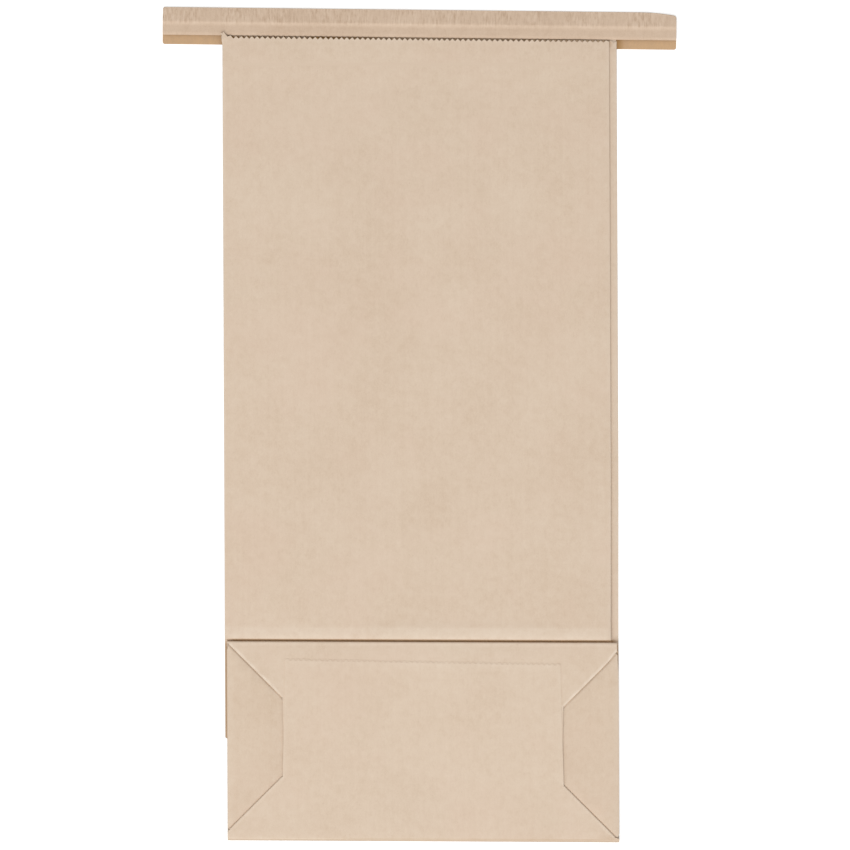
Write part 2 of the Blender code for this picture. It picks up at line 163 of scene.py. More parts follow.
class BagForm(bpy.types.PropertyGroup):
    """How far the folded sheet springs open."""
    cell: length_property("Cell", "Size of the grid that the flat plies are cut on", 4 * MM)
    rise_at_fold: length_property(
        "Rise at the fold", "Height that the front ply gains beside the folded bottom", 1.3 * MM)
    rise_in_middle: length_property(
        "Rise in the middle", "Height that the front ply gains half-way up the bag", 0.75 * MM)
    rise_at_mouth: length_property(
        "Rise at the mouth", "Height that the front ply gains at the mouth", 0.5 * MM)
    mouth_drop: length_property(
        "Mouth drop", "How far the sprung front ply draws back from the tie", 0.12 * MM)
    slot_gap: length_property("Slot gap", "Flat run between the bottom's fold and the slot's wall",
                              0.2 * MM)
    slot_width: length_property("Slot width", "Width of the front ply's steep wall beside the fold",
                                0.7 * MM)
    shoulder: length_property("Shoulder", "Width of the round shoulder above that wall", 2.2 * MM)
    dent: length_property("Dent", "Height of the slack roll above the fold", 0.16 * MM)
    ear_rise: length_property("Ear rise", "Height that the ears gain between the flaps' folds",
                              0.42 * MM)
    ear_slot: length_property("Ear slot", "Width of the ear's dip beside those folds", 0.6 * MM)
    press: length_property("Press", "How far the outer flap is pressed on the inner one",
                           0.07 * MM)
    wave: length_property("Wave", "Height of the slow waves in the front ply", 0.16 * MM)
    wave_length: length_property("Wave length", "Length of those waves", 38 * MM)
    roll: length_property("Roll", "How far the flap bows down just before its far fold",
                          0.03 * MM)
    inset: length_property("Inset", "How far the flap's far right corner lies inside the plies "
                           "below", 0.5 * MM)
    spread: length_property("Spread", "How much wider the bag is at its right, above the bottom",
                            0.2 * MM)
    sag: length_property("Sag", "Dip of the bottom flaps between the tongues of the ears",
                         0.3 * MM)
    burr: length_property("Burr", "Size of the frayed curl at the mouth's left corner", 3.4 * MM)


class KraftPaper(bpy.types.PropertyGroup):
    """Colour and grain of the bag's paper."""
    colour: colour_property("Colour", "Middle colour of the paper", paint(218, 197, 175))
    dark: colour_property("Dark fibre", "Colour of the darker fibres", paint(193, 165, 136))
    pale: colour_property("Pale fibre", "Colour of the paler fibres", paint(234, 218, 199))
    rosy: colour_property("Rosy cloud", "Warm tint of slow clouds in the pulp",
                          paint(222, 196, 176))
    # The crevice colour is painted shade for the bottom's crevices, the mouth and the tie's ends
    crevice: colour_property("Crevice", "Colour of the paper deep in a fold's crevice",
                             paint(165, 125, 76))
    cloud_size: length_property("Cloud size", "Size of the slow clouds in the pulp", 26 * MM)
    flock_size: length_property("Flock size", "Size of the flocks that the fibres form", 2.4 * MM)
    fibre_size: length_property("Fibre size", "Width of a bundle of fibres", 0.16 * MM)
    streak_pitch: length_property("Streak pitch", "Pitch of the machine's fine streaks", 0.9 * MM)


class TiePaper(bpy.types.PropertyGroup):
    """Colour and wrinkles of the tin tie's strip."""
    colour: colour_property("Colour", "Middle colour of the strip", paint(212, 187, 163))
    # Dark and pale also carry the wrinkles' painted shade and the ridges' painted highlight
    dark: colour_property("Dark fibre", "Colour in the wrinkles", paint(178, 148, 120))
    pale: colour_property("Pale fibre", "Colour on the ridges", paint(230, 208, 186))
    inside: colour_property("Inside", "Colour of the pasted inner face", paint(220, 180, 134))
    cell: length_property("Cell", "Distance between cuts along the strip", 0.8 * MM)
    buckle: length_property("Buckle", "Height of the buckles across the strip", 0.04 * MM)
    buckle_pitch: length_property("Buckle pitch", "Pitch of those buckles", 3 * MM)
    wrinkle: length_property("Wrinkle", "Height of the fine wrinkles across the strip",
                             0.05 * MM)
    wrinkle_pitch: length_property("Wrinkle pitch", "Pitch of those wrinkles", 0.55 * MM)
    fall: length_property("Fall", "How far the strip falls from its crest to its far edge",
                          0.66 * MM)
    ridge: length_property("Ridge", "Height of the crest that the upper wire presses up",
                           0.08 * MM)
    left_reach: length_property("Left reach", "How much further the strip's left end reaches",
                                0.45 * MM)
    seat: length_property("Seat", "How far the strip sits down on the mouth", 0.08 * MM)


class FilmAndWire(bpy.types.PropertyGroup):
    """Colours of the film and the wires."""
    film: colour_property("Film", "Colour of the clear film", paint(246, 247, 247))
    film_alpha: share_property("Film cover", "How much the film hides what is behind it", 0.24)
    wire: colour_property("Wire", "Colour of the bright wire", paint(200, 198, 193))


class Studio(bpy.types.PropertyGroup):
    """Camera, floor and lights."""
    camera_height: length_property("Camera height", "Height of the camera above the floor", 3.0)
    sensor: length_property("Sensor", "Width of the camera's sensor", 36 * MM)
    floor_size: length_property("Floor size", "Side of the square floor", 5.0)
    floor_drop: length_property("Floor drop", "Gap between the bag and the floor", 0.03 * MM)
    floor: colour_property("Floor", "Colour of the floor", paint(240, 240, 240))
    floor_bounce: colour_property("Floor bounce", "Colour that the floor throws on the bag",
                                  paint(150, 148, 146))
    world_light: bpy.props.FloatProperty(name="World light", default=0.66, min=0.0,
                                         description="Strength of the even light all round")
    key_light: bpy.props.FloatProperty(name="Key light", default=0.36, min=0.0,
                                       description="Share of the light that the lamp adds")
    key_size: length_property("Key size", "Side of the square lamp", 1.4)
    key_distance: length_property("Key distance", "Distance from the bag to the lamp", 2.4)


def settings(name):
    """The scene's property group of this name."""
    return getattr(bpy.context.scene, name)


class Wiring:
    """Adds nodes to a tree and joins their sockets."""

    def __init__(self, tree):
        self.tree = tree
        self.column = 0

    def add(self, kind, values=None, **options):
        node = self.tree.nodes.new(kind)
        self.column += 1
        node.location = (self.column * 190, -(self.column % 4) * 170)
        for option, value in options.items():
            setattr(node, option, value)
        self.feed(node, values or {})
        return node

    def feed(self, node, values):
        """Links a node's inputs to the sockets given for them, and sets the rest to constants."""
        for socket, value in values.items():
            if isinstance(value, bpy.types.NodeSocket):
                self.tree.links.new(value, node.inputs[socket])
            else:
                node.inputs[socket].default_value = value

    def place(self):
        return self.add("ShaderNodeTexCoord").outputs["Object"]

    def marked(self, name):
        """The number of this name that the mesh stores for each of its points or faces."""
        return self.add("ShaderNodeAttribute", attribute_name=name).outputs["Fac"]

    def math(self, operation, first, second=0.0, third=0.0):
        values = {0: first, 1: second, 2: third}
        return self.add("ShaderNodeMath", values, operation=operation).outputs[0]

    def blend(self, share, first, second):
        """The first colour where share is 0 and the second where it is 1."""
        first, second = (value if isinstance(value, bpy.types.NodeSocket) else (*value, 1.0)
                         for value in (first, second))
        return self.add("ShaderNodeMix", {0: share, 6: first, 7: second},
                        data_type="RGBA").outputs[2]

    def tinted(self, colour, tint, mask, most):
        """The colour with this tint over it, as strong as the mask times the most given."""
        return self.blend(self.math("MULTIPLY", mask, most), colour, tint)

    def spread(self, value, low, high, to_low=0.0, to_high=1.0):
        """Maps low..high to to_low..to_high, and holds the ends."""
        values = {0: value, 1: low, 2: high, 3: to_low, 4: to_high}
        return self.add("ShaderNodeMapRange", values).outputs[0]

    def noise(self, place, scale, detail=3.0, roughness=0.55, distortion=0.0):
        values = {"Vector": place, "Scale": scale, "Detail": detail, "Roughness": roughness,
                  "Distortion": distortion}
        return self.add("ShaderNodeTexNoise", values).outputs["Fac"]

    def stretched(self, place, turn, stretch):
        """The place turned about Z and drawn out along its own Y."""
        turned = self.add("ShaderNodeVectorRotate", {"Vector": place, "Angle": turn},
                          rotation_type="Z_AXIS").outputs[0]
        return self.add("ShaderNodeVectorMath", {0: turned, 1: (1.0, 1 / stretch, 1.0)},
                        operation="MULTIPLY").outputs[0]


def new_group(name, inputs, outputs):
    """An empty shader node group with named inputs, each with its default, and outputs."""
    group = bpy.data.node_groups.new(name, "ShaderNodeTree")
    for socket, default in inputs.items():
        made = group.interface.new_socket(name=socket, in_out="INPUT",
                                          socket_type="NodeSocketFloat")
        made.default_value = default
    for socket in outputs:
        group.interface.new_socket(name=socket, in_out="OUTPUT", socket_type="NodeSocketFloat")
    wiring = Wiring(group)
    return group, wiring, wiring.add("NodeGroupInput").outputs


def pulp_group():
    """Fibres, flocks, clouds and machine streaks of kraft paper, shifted from ply to ply."""
    made = bpy.data.node_groups.get("kraft_pulp")
    if made:
        return made
    group, wiring, given = new_group(
        "kraft_pulp",
        {"Cloud Size": 0.026, "Flock Size": 0.0024, "Fibre Size": 0.00016, "Streak Pitch": 0.0009},
        ("Tone", "Rose", "Fleck", "Height"))
    place = wiring.place()
    ply = wiring.marked("ply")
    shift = wiring.add("ShaderNodeCombineXYZ", {0: wiring.math("MULTIPLY", ply, 0.137),
                                               1: wiring.math("MULTIPLY", ply, 0.311)}).outputs[0]
    place = wiring.add("ShaderNodeVectorMath", {0: place, 1: shift}).outputs[0]
    per_cloud = wiring.math("DIVIDE", 1.0, given["Cloud Size"])
    per_flock = wiring.math("DIVIDE", 1.0, given["Flock Size"])
    per_fibre = wiring.math("DIVIDE", 1.0, given["Fibre Size"])
    cloud = wiring.noise(place, per_cloud, 4.0, 0.5)
    aside = wiring.add("ShaderNodeVectorMath", {0: place, 1: (0.7, 0.2, 0.4)}).outputs[0]
    rose = wiring.noise(aside, per_cloud, 3.0, 0.6)
    flock = wiring.noise(place, per_flock, 4.0, 0.6)
    along = wiring.noise(wiring.stretched(place, 0.12, 9.0), per_fibre, 2.0)
    slant = wiring.noise(wiring.stretched(place, -0.65, 7.0), per_fibre, 2.0)
    cross = wiring.noise(wiring.stretched(place, 1.1, 6.0), per_fibre, 2.0)
    fibre = wiring.math("MULTIPLY", wiring.math("ADD", wiring.math("ADD", along, slant), cross),
                        1 / 3)
    streak = wiring.noise(wiring.stretched(place, 0.0, 60.0),
                          wiring.math("DIVIDE", 1.0, given["Streak Pitch"]), 2.0)
    rare = wiring.noise(wiring.stretched(aside, 0.5, 5.0),
                        wiring.math("MULTIPLY", per_fibre, 0.55), 2.0)
    tone = wiring.math("MULTIPLY_ADD", wiring.math("SUBTRACT", cloud, 0.5), 0.28, 0.5)
    tone = wiring.math("MULTIPLY_ADD", wiring.math("SUBTRACT", flock, 0.5), 0.32, tone)
    tone = wiring.math("MULTIPLY_ADD", wiring.math("SUBTRACT", fibre, 0.5), 0.7, tone)
    tone = wiring.math("MULTIPLY_ADD", wiring.math("SUBTRACT", streak, 0.5), 0.09, tone)
    height = wiring.math("MULTIPLY_ADD", flock, 0.5, wiring.math("MULTIPLY", fibre, 0.9))
    wiring.add("NodeGroupOutput", {
        "Tone": tone,
        "Rose": wiring.spread(rose, 0.46, 0.66),
        "Fleck": wiring.spread(rare, 0.69, 0.75),
        "Height": wiring.math("MULTIPLY_ADD", streak, 0.25, height)})
    return group


def wear_and_highlight_group():
    """Paler folds, partly rub and partly painted highlight, and fluffy cut edges, from the mesh's
    own marks for both.
    """
    made = bpy.data.node_groups.get("fold_highlight_and_cut")
    if made:
        return made
    group, wiring, given = new_group("fold_highlight_and_cut", {"Patch Size": 0.003},
                                     ("Rub And Highlight", "Fluff"))
    place = wiring.place()
    patches = wiring.noise(place, wiring.math("DIVIDE", 1.0, given["Patch Size"]), 5.0, 0.65)
    fold = wiring.marked("fold")
    cut = wiring.marked("cut")
    wiring.add("NodeGroupOutput", {
        "Rub And Highlight": wiring.math("MULTIPLY", fold, wiring.spread(patches, 0.35, 0.65, 0.35, 1.0)),
        "Fluff": wiring.math("MULTIPLY", cut, wiring.spread(patches, 0.4, 0.6, 0.55, 1.0))})
    return group


def new_material(name):
    """A material with a Principled shader, and the wiring to reach it."""
    made = bpy.data.materials.new(name)
    made.use_nodes = True
    return made, Wiring(made.node_tree), made.node_tree.nodes["Principled BSDF"]


def bump(wiring, height, depth):
    """A normal that follows the height, which stands for this depth from 0 to 1."""
    return wiring.add("ShaderNodeBump", {"Height": height, "Strength": 1.0,
                                         "Distance": depth}).outputs[0]


def pulp(wiring, paper):
    """The outputs of the kraft pulp group, set to this paper's sizes."""
    values = {"Cloud Size": paper.cloud_size, "Flock Size": paper.flock_size,
              "Fibre Size": paper.fibre_size, "Streak Pitch": paper.streak_pitch}
    return wiring.add("ShaderNodeGroup", values, node_tree=pulp_group()).outputs


def kraft_paper_material():
    paper = settings("kraft_paper")
    made, wiring, shader = new_material("kraft_paper")
    grain = pulp(wiring, paper)
    wear_and_highlight = wiring.add("ShaderNodeGroup", {"Patch Size": 0.003}, node_tree=wear_and_highlight_group()).outputs
    darker = wiring.blend(wiring.spread(grain["Tone"], 0.5, 0.0), paper.colour, paper.dark)
    colour = wiring.blend(wiring.spread(grain["Tone"], 0.5, 1.0), darker, paper.pale)
    colour = wiring.tinted(colour, paper.rosy, grain["Rose"], 0.2)
    colour = wiring.tinted(colour, paper.dark, grain["Fleck"], 0.3)
    # Paler folds: rub, and painted highlight beside the bottom's folds
    colour = wiring.tinted(colour, paper.pale, wear_and_highlight["Rub And Highlight"], 0.55)
    colour = wiring.tinted(colour, paper.pale, wear_and_highlight["Fluff"], 0.2)
    wiring.feed(shader, {
        # Painted shade: the crevice colour where the mesh marks the paper as lying in shade
        "Base Color": wiring.blend(wiring.marked("shaded"), colour, paper.crevice),
        "Roughness": wiring.spread(grain["Tone"], 0.2, 0.8, 0.82, 0.92),
        "Normal": bump(wiring, grain["Height"], 0.02 * MM),
        "Specular IOR Level": 0.3})
    return made


def tie_paper_material():
    paper, tie = settings("kraft_paper"), settings("tie_paper")
    made, wiring, shader = new_material("tie_paper")
    grain = pulp(wiring, paper)
    wear_and_highlight = wiring.add("ShaderNodeGroup", {"Patch Size": 0.002}, node_tree=wear_and_highlight_group()).outputs
    inside = wiring.marked("inside")
    wrinkle = wrinkles(wiring, tie)
    # The wrinkles also darken and lighten the colour: painted shade in their hollows and painted
    # highlight on their crests, over the fibre's own tone
    tone = wiring.math("MULTIPLY_ADD", wrinkle, 1.3, grain["Tone"])
    darker = wiring.blend(wiring.spread(tone, 0.5, 0.0), tie.colour, tie.dark)
    colour = wiring.blend(wiring.spread(tone, 0.5, 1.0), darker, tie.pale)
    colour = wiring.tinted(colour, tie.dark, grain["Fleck"], 0.3)
    # Paler folds and ridge: rub, and painted highlight on the lit flank of the ridge
    colour = wiring.tinted(colour, tie.pale, wear_and_highlight["Rub And Highlight"], 0.4)
    colour = wiring.tinted(colour, tie.pale, wear_and_highlight["Fluff"], 0.5)
    pasted = wiring.blend(wiring.spread(grain["Tone"], 0.2, 0.8), tie.dark, tie.inside)
    # Painted shadow of the bag's sides on the pasted face beside them
    pasted = wiring.tinted(pasted, paper.crevice, wiring.marked("shade"), 0.9)
    grain_depth = 0.03 * MM
    height = wiring.math("MULTIPLY_ADD", wrinkle, tie.wrinkle / grain_depth, grain["Height"])
    wiring.feed(shader, {
        "Base Color": wiring.blend(inside, colour, pasted),
        "Roughness": wiring.spread(inside, 0.0, 1.0, 0.85, 0.5),
        "Normal": bump(wiring, height, grain_depth),
        "Specular IOR Level": 0.3})
    return made


def wrinkles(wiring, tie):
    """Fine wrinkles across the strip, in patches, where the mesh marks it as wrinkled."""
    place = wiring.place()
    along = wiring.stretched(place, TIE_LEAN, 7.0)
    fine = wiring.noise(along, 1 / tie.wrinkle_pitch, 2.0)
    patches = wiring.noise(wiring.stretched(place, TIE_LEAN, 2.0), 110.0, 2.0)
    marked = wiring.marked("wrinkle")
    depth = wiring.math("MULTIPLY", marked, wiring.spread(patches, 0.38, 0.6, 0.25, 1.0))
    return wiring.math("MULTIPLY", wiring.math("SUBTRACT", fine, 0.5), depth)


def film_material():
    made, wiring, shader = new_material("clear_film")
    place = wiring.place()
    ripple = wiring.noise(wiring.stretched(place, 0.0, 7.0), 140.0, 2.0)
    haze = wiring.noise(place, 60.0, 4.0, 0.6)
    chosen = settings("film_and_wire")
    wiring.feed(shader, {
        "Base Color": (*chosen.film, 1.0),
        "Alpha": wiring.spread(haze, 0.3, 0.7, chosen.film_alpha * 0.75,
                               chosen.film_alpha * 1.25),
        "Roughness": wiring.spread(haze, 0.3, 0.7, 0.06, 0.16),
        "Normal": bump(wiring, ripple, 0.06 * MM)})
    return made


def wire_material():
    chosen = settings("film_and_wire")
    made, wiring, shader = new_material("tie_wire")
    place = wiring.place()
    scratch = wiring.noise(wiring.stretched(place, math.pi / 2, 80.0), 9000.0, 2.0)
    tarnish = wiring.noise(place, 500.0, 3.0)
    dull = wiring.blend(wiring.spread(tarnish, 0.45, 0.8, 0.0, 0.5), chosen.wire,
                        tuple(part * 0.6 for part in chosen.wire))
    wiring.feed(shader, {
        "Base Color": dull,
        "Roughness": wiring.spread(scratch, 0.3, 0.7, 0.25, 0.45),
        "Normal": bump(wiring, scratch, 0.004 * MM),
        "Metallic": 1.0})
    return made


def joined_mesh(node):
    """A frame node's mesh with its shared points merged and its flat faces joined."""
    bm = bmesh.new()
    bm.from_mesh(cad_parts[node].data)
    bmesh.ops.remove_doubles(bm, verts=bm.verts, dist=2e-6)
    bmesh.ops.dissolve_limit(bm, angle_limit=FLAT_ANGLE, verts=bm.verts, edges=bm.edges)
    return bm


def cut_across(bm, normal, reaches):
    """Cuts every face by planes with this normal, at these distances from the origin."""
    for reach in reaches:
        bmesh.ops.bisect_plane(bm, geom=bm.verts[:] + bm.edges[:] + bm.faces[:], dist=1e-7,
                               plane_co=normal * reach, plane_no=normal)


def even_places(low, high, step):
    """Evenly spaced places between low and high, about a step apart, without the ends."""
    count = max(1, round((high - low) / step))
    return [low + (high - low) * i / count for i in range(1, count)]


def finished_object(name, bm, slot, material, *stands_for):
    """Turns the mesh into a piece that rides on the bag and stands for frame nodes."""
    bmesh.ops.triangulate(bm, faces=[face for face in bm.faces if len(face.verts) > 4])
    data = bpy.data.meshes.new(name)
    bm.to_mesh(data)
    bm.free()
    data.shade_smooth()
    data.set_sharp_from_angle(angle=SHARP_ANGLE)
    data.materials.append(material)
    made = bpy.data.objects.new(name, data)
    bpy.context.scene.collection.objects.link(made)
    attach(made, "root")
    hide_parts(*stands_for)
    return made


class Line:
    """A straight line in plan, through the outermost point at each side of the bag."""

    def __init__(self, points, outermost):
        points = list(points)
        left, right = (max((p for p in points if p.x * side > 0.0), key=outermost)
                       for side in (-1, 1))
        self.left = left
        self.right = right
        self.slope = (right.y - left.y) / (right.x - left.x)

    def at(self, x):
        """The line's Y at this X."""
        return self.left.y + self.slope * (x - self.left.x)


class BagShape:
    """The spring of the folded bag: how far each point of the flat stack moves."""

    def __init__(self):
        self.form = settings("bag_form")
        self.low, self.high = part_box("bag_body")
        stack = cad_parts["bag_body"].data
        places = [vert.co for vert in stack.vertices]
        turned_top = ply_top(TURNED_PLY)
        self.far_fold = Line((p for p in places if p.z > turned_top + PLY_PITCH and p.y < 0.0),
                             lambda p: p.y)
        front_top = ply_top(FRONT_PLY) + MOUTH_LIFT
        self.mouth = Line((p for p in places
                           if p.z > front_top - 0.05 * MM and p.y > self.high.y - 11 * MM),
                          lambda p: abs(p.x))
        self.bottom = self.low.y + 0.3 * MM
        self.line_ends = (self.low.x + 1.1 * MM, self.high.x - 2 * MM)
        self.slants = {}
        self.flap_ends = {}
        for face in stack.polygons:
            self.note_slant(face, stack.vertices)

    def note_slant(self, face, corners):
        """Keeps the outermost line of each slanting fold of the flaps, by side and end."""
        flat = Vector((face.normal.x, face.normal.y, 0.0))
        if face.center.z < ply_top(EAR_PLY) or flat.length < 0.8 or flat.length > 0.99:
            return
        normal = flat.normalized()
        side = 1 if face.center.x > 0.0 else -1
        if not 0.6 < normal.x * side < 0.8:
            return
        end = -1 if normal.y > 0.0 else 1
        places = [corners[i].co for i in face.vertices]
        reach = max(normal.dot(place) for place in places)
        if reach > self.slants.get((side, end), (None, -math.inf))[1]:
            self.slants[side, end] = (normal, reach)
        self.flap_ends[side] = min(self.flap_ends.get(side, math.inf),
                                   *(side * place.x for place in places))

    def from_side(self, x):
        """Distance in from the nearer side of the bag."""
        return min(x - self.low.x, self.high.x - x)

    def slot_places(self):
        """Distances from the bottom's far fold at which the sheet is cut across."""
        gap, width = self.form.slot_gap, self.form.slot_width
        wall = [gap + width * share / 9 for share in range(10)]
        return (*CUTS_BELOW_FOLD, *wall, *CUTS_ABOVE_WALL)

    def mouth_lift(self, y):
        """Height that the flat stack has gained at this Y, on its way over the tie's far leaf."""
        share = (y - self.bottom - LIFT_STARTS) / (LIFT_ENDS - LIFT_STARTS)
        return MOUTH_LIFT * min(1.0, max(0.0, share))

    def front_rise(self, x, y):
        """Height that the front ply springs up above the bottom's far fold."""
        form = self.form
        away = y - self.far_fold.at(x)
        if away <= form.slot_gap:
            return 0.0
        wall = 0.78 * smooth_step(form.slot_gap, form.slot_gap + form.slot_width, away)
        wall += 0.22 * smooth_step(form.slot_gap, form.shoulder, away)
        fall = smooth_step(0.0, 70 * MM, away)
        rise = form.rise_at_fold + (form.rise_in_middle - form.rise_at_fold) * fall
        inward = smooth_step(0.0, 16 * MM, self.from_side(x))
        place = Vector((x, y, 0.0)) / form.wave_length
        wave = form.wave * noise.noise(place) * inward
        wave += form.wave * 0.25 * noise.noise(place * 3.1 + Vector((4.0, 7.0, 1.0)))
        near_mouth = smooth_step(-60 * MM, -8 * MM, y - self.mouth.at(x))
        rise = min(rise + wave, form.rise_at_fold) * (1 - near_mouth)
        rise += form.rise_at_mouth * near_mouth
        far, near = SIDE_RISE_LEFT if x < 0.0 else SIDE_RISE_RIGHT
        at_side = far + (near - far) * (1 - smooth_step(0.0, 25 * MM, away))
        rise *= at_side + (1 - at_side) * inward
        at_corner = smooth_step(-3 * MM, -1.5 * MM, x - self.high.x)
        rise *= 1 - 0.7 * at_corner * (1 - smooth_step(2 * MM, 12 * MM, away))
        slack = smooth_step(-20 * MM, -8 * MM, x) * (1 - smooth_step(36 * MM, 50 * MM, x))
        rise -= form.dent * slack * smooth_step(4 * MM, 6.6 * MM, away)
        return max(0.0, rise) * wall

    @staticmethod
    def share_of_rise(z):
        """0 for the plies on the table, 1 for the front ply, a half for the gusset's front."""
        half = 0.5 * smooth_step(ply_top(FRONT_PLY - 2), ply_bottom(FRONT_PLY - 1), z)
        return half + 0.5 * smooth_step(ply_top(FRONT_PLY - 1), ply_bottom(FRONT_PLY), z)

    def ear_rise(self, x, y):
        """Height of an ear between the slanting folds of the flaps, which hold it down."""
        form = self.form
        side = 1 if x > 0.0 else -1
        rise = form.ear_rise
        for end in (-1, 1):
            normal, reach = self.slants[side, end]
            away = normal.x * x + normal.y * y - reach
            rise *= smooth_step(0.04 * MM, 0.04 * MM + form.ear_slot, away)
        outward = side * x - self.flap_ends[side]
        rise *= 0.45 * smooth_step(-9 * MM, -1 * MM, outward) + 0.55 * smooth_step(
            0.3 * MM, 5 * MM, outward)
        return rise * (0.4 + 0.6 * smooth_step(0.0, 3 * MM, self.from_side(x)))

    def flap_sag(self, x, y):
        """Dip of the two bottom flaps where no tongue of an ear lies under them."""
        middle = 1 - smooth_step(8 * MM, 18 * MM, abs(x))
        along = smooth_step(self.low.y + 4 * MM, self.low.y + 20 * MM, y)
        far = self.far_fold.at(x)
        along *= 1 - smooth_step(far - 20 * MM, far - 4 * MM, y)
        return self.form.sag * middle * along

    def moved(self, point):
        """Where a point of the flat stack goes."""
        x, y, z = point
        if y > self.far_fold.at(x):
            return self.moved_front(x, y, z)
        ear = smooth_step(ply_top(EAR_PLY - 1), ply_bottom(EAR_PLY), z)
        flaps = smooth_step(ply_top(TURNED_PLY), ply_bottom(INNER_FLAP_PLY), z)
        outer = smooth_step(ply_top(INNER_FLAP_PLY), ply_bottom(OUTER_FLAP_PLY), z)
        z += self.ear_rise(x, y) * ear
        z -= self.flap_sag(x, y) * flaps + self.form.press * outer
        away = y - self.far_fold.at(x)
        z -= self.form.roll * flaps * smooth_step(-1.9 * MM, -1.5 * MM, away)
        x -= self.form.inset * flaps * smooth_step(-4 * MM, -0.4 * MM, x - self.high.x) * (
            smooth_step(-11 * MM, -4 * MM, away))
        return Vector((x, y, z))

    def moved_front(self, x, y, z):
        """Where a point above the bottom's far fold goes."""
        stacked = z - self.mouth_lift(y)
        z += self.front_rise(x, y) * self.share_of_rise(stacked)
        front = smooth_step(ply_top(FRONT_PLY - 1), ply_bottom(FRONT_PLY), stacked)
        above = y - self.mouth.at(x)
        corner = Vector((x - self.mouth.left.x, above))
        x += self.form.spread * smooth_step(0.0, 50 * MM, x) * smooth_step(
            0.0, 60 * MM, y - self.far_fold.at(x))
        y -= self.form.mouth_drop * smooth_step(-3 * MM, 0.0, above) * front
        curl = (1 - smooth_step(0.0, self.form.burr, corner.length)) * front
        if curl > 0.0:
            ragged = noise.noise(Vector((x, y, 0.0)) / BURR_GRAIN) * BURR_RAGGED
            x -= (BURR_REACH[0] + ragged) * curl
            y += (BURR_REACH[1] + ragged) * curl
            z += (BURR_REACH[2] + abs(ragged)) * curl
        return Vector((x, y, z))

    def rub_and_highlight(self, point):
        """How pale the sheet is beside the folds of the bottom: painted highlight on the shoulder
        above the far fold and along the flaps' slanting folds, with some rub.
        """
        away = point.y - self.far_fold.at(point.x)
        lowest = ply_bottom(INNER_FLAP_PLY) - 0.1 * MM if away < 0.0 else ply_bottom(FRONT_PLY)
        if point.z < lowest or away > 6 * MM:
            return 0.0
        if away > 0.0:
            return 0.8 * smooth_step(0.5 * MM, 0.9 * MM, away) * (
                1 - smooth_step(3.6 * MM, 5 * MM, away))
        side = 1 if point.x > 0.0 else -1
        rub = 0.15 + 0.45 * smooth_step(-1.6 * MM, -0.5 * MM, away)
        if side * point.x > self.flap_ends[side] - 0.5 * MM:
            for end, most in SLANT_HIGHLIGHT.items():
                normal, reach = self.slants[side, end]
                past = normal.dot(point.xy.to_3d()) - reach
                if past < 0.0:
                    rub = max(rub, most * smooth_step(-1.0 * MM, -0.5 * MM, past))
        return rub

    def depth(self, point):
        """How much painted shade a point gets, in the crevices beside the bottom's folds and in the
        mouth.
        """
        x, y, z = point
        above = y - self.mouth.at(x)
        if above > -1.6 * MM:
            inside = float(x < self.mouth.right.x and 0.33 * MM < z < 0.85 * MM)
            return inside * (1 - 0.45 * smooth_step(-35 * MM, -5 * MM, x))
        away = y - self.far_fold.at(x)
        if away > 2 * MM or z < 0.3 * MM:
            return 0.0
        at_fold = away > CUTS_BELOW_FOLD[-1]
        below_fold = away < CUTS_BELOW_FOLD[-1]
        if at_fold and not self.line_ends[0] < x < self.line_ends[1]:
            return LINE_END_SHADE
        if below_fold and z < 1.45 * MM and x > self.high.x - 1.2 * MM:
            return CORNER_SHADE * smooth_step(-11 * MM, -5 * MM, away)
        if y < self.low.y + RIM_HEIGHT:
            return RIM_SHADE
        if z > ply_top(FRONT_PLY) + 0.02 * MM:
            if ply_bottom(EAR_PLY) - 0.05 * MM < z < ply_top(EAR_PLY) + 0.05 * MM:
                return EAR_SHADE
            return FOLD_SHADE * (1 - smooth_step(1.3 * MM, 1.7 * MM, z)) * float(at_fold)
        if below_fold:
            return LOWER_PLY_SHADE
        gap, width = self.form.slot_gap, self.form.slot_width
        return FOLD_SHADE * (1 - smooth_step(gap + 0.4 * width, gap + 1.1 * width, away))


def cut_faces(bm, faces, normal, reaches):
    """Cuts only these faces by planes with this normal, at these distances from the origin."""
    for reach in reaches:
        geom = {part for face in faces for part in (face, *face.edges, *face.verts)}
        made = bmesh.ops.bisect_plane(bm, geom=list(geom), dist=1e-7, plane_co=normal * reach,
                                      plane_no=normal)["geom"]
        faces = {part for part in made if isinstance(part, bmesh.types.BMFace)}
    return faces


def cut_ears(bm, shape):
    """Cuts the ears fine, and beside the slanting folds along them."""
    low, high = ply_bottom(EAR_PLY) - 0.01 * MM, ply_top(EAR_PLY) + 0.01 * MM
    form = shape.form
    for (side, _), (slant, reach) in shape.slants.items():
        flaps = {face for face in bm.faces
                 if side * face.calc_center_median().x > shape.flap_ends[side] - 1 * MM
                 and all(vert.co.z > ply_bottom(INNER_FLAP_PLY) - 0.05 * MM
                         for vert in face.verts)}
        cut_faces(bm, flaps, slant, [reach - 0.5 * MM, reach - 1.0 * MM])

        def faces():
            return {face for face in bm.faces
                    if side * face.calc_center_median().x > shape.flap_ends[side] - 2 * MM
                    and all(low < vert.co.z < high for vert in face.verts)}
        places = [reach + 0.04 * MM + form.ear_slot * share / 5 for share in range(6)]
        cut_faces(bm, faces(), slant, places)
        across = [shape.flap_ends[side] + step for step in EAR_CUTS]
        cut_faces(bm, faces(), ALONG_X * side, across)


